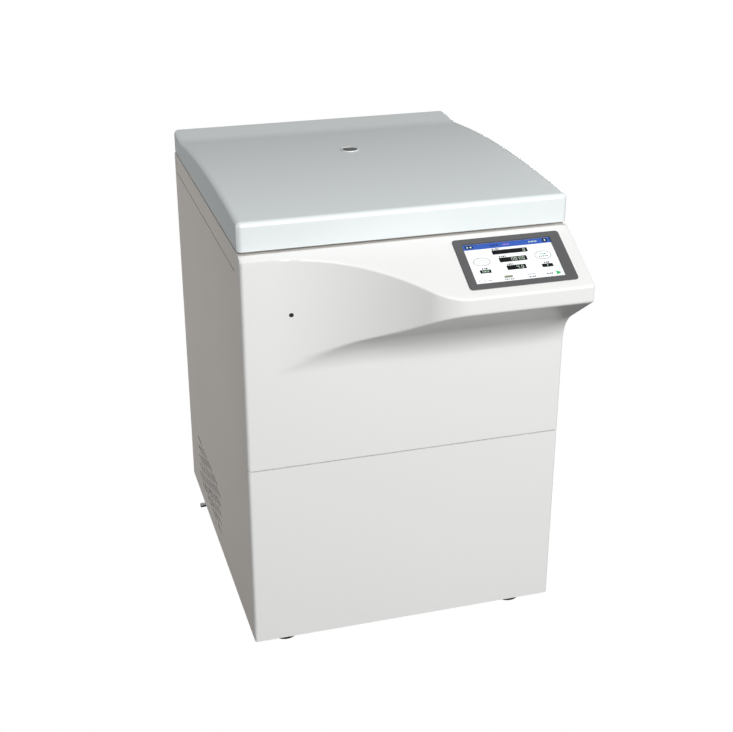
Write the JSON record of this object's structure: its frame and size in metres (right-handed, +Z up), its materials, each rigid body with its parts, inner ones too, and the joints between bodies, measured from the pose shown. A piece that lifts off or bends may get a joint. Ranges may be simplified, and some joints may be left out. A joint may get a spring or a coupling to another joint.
{
  "type": "decapping centrifuge",
  "caption": "Floor-standing refrigerated laboratory centrifuge with hinged lid, sloping touch display and swing-out tube buckets under slotted decapping grids.",
  "frame": {"origin": "on the floor, under the middle of the overall width and depth", "axes": "+X to the right of a person facing the console, +Y to the back, +Z up"},
  "size_m": [0.57, 0.762, 0.8059],
  "materials": {
    "cover_white": "satin powder-coated sheet",
    "moulding_white": "smooth off-white moulded cover",
    "lid_grey": "pale grey-blue moulded lid",
    "frame_steel": "grey painted steel",
    "stainless": "brushed stainless steel",
    "bright_steel": "ground and plated steel",
    "cast_alloy": "bead-blasted aluminium alloy",
    "copper": "drawn copper tube",
    "rubber_black": "black rubber",
    "foam": "foamed-in insulation",
    "bezel_grey": "dark grey display frame",
    "screen": "lit display under clear glass",
    "sight_clear": "tinted sight glass",
    "trim_white": "white trim ring",
    "black_plastic": "black moulded plastic",
    "rack_blue": "blue moulded rack",
    "motor_black": "black enamelled casting"
  },
  "bodies": {
    "cabinet": {"base_tray": "frame_steel", "feet": "rubber_black", "cabinet_frame": "frame_steel", "chamber_plate": "frame_steel", "left_side_panel": "cover_white", "right_side_panel": "cover_white", "rear_panel": "cover_white", "lower_front_panel": "moulding_white", "upper_front_panel": "moulding_white", "top_deck": "cover_white", "guard_ring": "frame_steel", "foam_jacket": "foam", "evaporator_coil": "copper", "chamber_bowl": "stainless", "chamber_gasket": "rubber_black", "shaft_boot": "rubber_black", "hinge_leaves": "bright_steel", "lock_housings": "bright_steel", "motor_housing": "cast_alloy", "motor_stator": "motor_black", "motor_bearings": "bright_steel", "motor_dampers": "rubber_black", "compressor": "motor_black", "condenser": "cast_alloy", "fan_motor": "motor_black", "refrigerant_pipes": "copper", "electrical_box": "bright_steel", "motor_drive": "cast_alloy", "display_bezel": "bezel_grey", "display_screen": "screen", "mains_inlet": "black_plastic", "breaker_body": "black_plastic", "drain_hose": "rubber_black", "drain_spigot": "bright_steel"},
    "lid": {"lid_shell": "lid_grey", "lid_liner": "stainless", "sight_glass": "sight_clear", "sight_glass_ring": "trim_white", "lid_hardware": "bright_steel"},
    "strut_cylinders": {"strut_cylinders": "motor_black"},
    "strut_rods": {"strut_rods": "bright_steel"},
    "lock_hooks": {"lock_hooks": "bright_steel"},
    "release_plug": {"release_plug": "black_plastic"},
    "rotor": {"spindle": "bright_steel", "rotor_head": "cast_alloy"},
    "rotor_nut": {"rotor_nut": "bright_steel"},
    "fan_blades": {"fan_blades": "black_plastic"},
    "breaker_toggle": {"breaker_toggle": "trim_white"},
    "bucket_1": {"bucket_1": "cast_alloy", "tube_rack_1": "rack_blue"},
    "decap_grid_1": {"decap_grid_1": "stainless"},
    "bucket_2": {"bucket_2": "cast_alloy", "tube_rack_2": "rack_blue"},
    "decap_grid_2": {"decap_grid_2": "stainless"},
    "bucket_3": {"bucket_3": "cast_alloy", "tube_rack_3": "rack_blue"},
    "decap_grid_3": {"decap_grid_3": "stainless"},
    "bucket_4": {"bucket_4": "cast_alloy", "tube_rack_4": "rack_blue"},
    "decap_grid_4": {"decap_grid_4": "stainless"}
  },
  "joints": [
    {"name": "lid_hinge", "type": "hinge", "parent": "cabinet", "child": "lid", "pos_m": [0, 0.368, 0.752], "axis": [-1, 0, 0], "range_deg": [0, 75]},
    {"name": "strut_swing", "type": "hinge", "parent": "cabinet", "child": "strut_cylinders", "pos_m": [0, 0.32, 0.61], "axis": [-1, 0, 0], "range_deg": [0, 27.29]},
    {"name": "strut_slide", "type": "slide", "parent": "strut_cylinders", "child": "strut_rods", "axis": [0, -0.3594, 0.9332], "range_m": [0, 0.08787]},
    {"name": "lock_turn", "type": "hinge", "parent": "cabinet", "child": "lock_hooks", "pos_m": [0, -0.205, 0.698], "axis": [-1, 0, 0], "range_deg": [0, 35]},
    {"name": "release_plug_pull", "type": "slide", "parent": "cabinet", "child": "release_plug", "axis": [0, -1, 0], "range_m": [0, 0.012]},
    {"name": "rotor_spin", "type": "hinge", "parent": "cabinet", "child": "rotor", "pos_m": [0, 0.088, 0.68], "axis": [0, 0, 1], "continuous": true},
    {"name": "rotor_nut_turn", "type": "hinge", "parent": "rotor", "child": "rotor_nut", "pos_m": [0, 0.088, 0.692], "axis": [0, 0, 1], "range_deg": [0, 720]},
    {"name": "fan_spin", "type": "hinge", "parent": "cabinet", "child": "fan_blades", "pos_m": [-0.219, 0.099, 0.1], "axis": [1, 0, 0], "continuous": true},
    {"name": "breaker_throw", "type": "hinge", "parent": "cabinet", "child": "breaker_toggle", "pos_m": [-0.08, 0.371, 0.112], "axis": [1, 0, 0], "range_deg": [0, 47.92]},
    {"name": "bucket_swing_1", "type": "hinge", "parent": "rotor", "child": "bucket_1", "pos_m": [0.11, 0.088, 0.68], "axis": [0, -1, 0], "range_deg": [0, 90]},
    {"name": "bucket_swing_2", "type": "hinge", "parent": "rotor", "child": "bucket_2", "pos_m": [0, 0.198, 0.68], "axis": [1, 0, 0], "range_deg": [0, 90]},
    {"name": "bucket_swing_3", "type": "hinge", "parent": "rotor", "child": "bucket_3", "pos_m": [-0.11, 0.088, 0.68], "axis": [0, 1, 0], "range_deg": [0, 90]},
    {"name": "bucket_swing_4", "type": "hinge", "parent": "rotor", "child": "bucket_4", "pos_m": [0, -0.022, 0.68], "axis": [-1, 0, 0], "range_deg": [0, 90]},
    {"name": "decap_lift_1", "type": "slide", "parent": "bucket_1", "child": "decap_grid_1", "axis": [0, 0, 1], "range_m": [0, 0.01]},
    {"name": "decap_lift_2", "type": "slide", "parent": "bucket_2", "child": "decap_grid_2", "axis": [0, 0, 1], "range_m": [0, 0.01]},
    {"name": "decap_lift_3", "type": "slide", "parent": "bucket_3", "child": "decap_grid_3", "axis": [0, 0, 1], "range_m": [0, 0.01]},
    {"name": "decap_lift_4", "type": "slide", "parent": "bucket_4", "child": "decap_grid_4", "axis": [0, 0, 1], "range_m": [0, 0.01]}
  ],
  "couplings": [
    {"joint": "strut_swing", "follows": "lid_hinge", "ratio": 0.36353},
    {"joint": "strut_slide", "follows": "lid_hinge", "m_per_rad": 0.06709}
  ]
}
